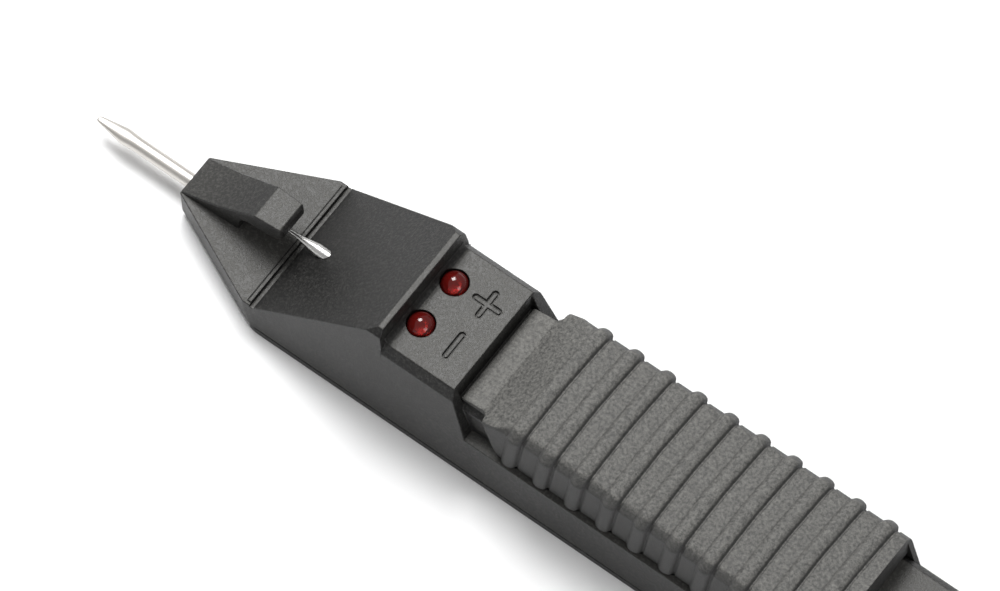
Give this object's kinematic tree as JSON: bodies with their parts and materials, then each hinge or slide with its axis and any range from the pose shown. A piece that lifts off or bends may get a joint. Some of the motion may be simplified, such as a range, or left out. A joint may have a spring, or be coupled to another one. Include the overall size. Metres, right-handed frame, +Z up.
{
  "type": "voltage_tester",
  "caption": "Hand-held voltage tester with a pointed probe rod, a hook over a wire jaw, a piercing needle on a sprung ribbed grip and red polarity lamps",
  "frame": {"origin": "middle of the tester's length and width, on its flat underside", "axes": "+X from the probe tip towards the tail, +Y to the side of the plus lamp, +Z up from the underside"},
  "size_m": [0.2024, 0.0314, 0.0301],
  "materials": {
    "case_plastic": "moulded, fine spark-eroded grain, satin",
    "grip_plastic": "moulded, coarser matt grain",
    "inner_plastic": "moulded, plain",
    "screw_steel": "zinc plated",
    "spring_steel": "drawn wire",
    "needle_steel": "ground and polished",
    "probe_nickel": "nickel plated, satin",
    "brass": "turned",
    "wire_red": "insulated wire",
    "board_green": "solder mask",
    "lamp_red": "clear tinted resin",
    "resistor_tan": "lacquered",
    "chip_black": "moulded resin",
    "capacitor_brown": "fired",
    "tinned_steel": "tinned",
    "gland_rubber": "moulded, matt"
  },
  "bodies": {
    "case": {"housing": "case_plastic", "bottom_cover": "case_plastic", "cover_screws": "screw_steel", "spring_rod": "screw_steel", "return_spring": "spring_steel", "needle_guide": "brass", "needle_contact": "brass", "probe_rod": "probe_nickel", "rod_pin": "screw_steel", "rod_clip": "brass", "rod_wire": "wire_red", "circuit_board": "board_green", "board_screws": "screw_steel", "lamp_plus": "lamp_red", "lamp_minus": "lamp_red", "resistors": "resistor_tan", "diodes": "chip_black", "driver_chip": "chip_black", "capacitor": "capacitor_brown", "lead_terminal": "tinned_steel", "lead_gland": "gland_rubber", "lead_clamp": "inner_plastic", "clamp_screws": "screw_steel"},
    "slide": {"grip": "grip_plastic", "carriage": "inner_plastic", "carriage_screws": "screw_steel", "needle": "needle_steel", "needle_holder": "brass", "needle_grub_screw": "screw_steel"}
  },
  "joints": [
    {"name": "grip_slide", "type": "slide", "parent": "case", "child": "slide", "axis": [1, 0, 0], "range_m": [0, 0.01], "stiffness_N_per_m": 180, "springref_m": -0.012, "deforming": ["return_spring"]}
  ]
}
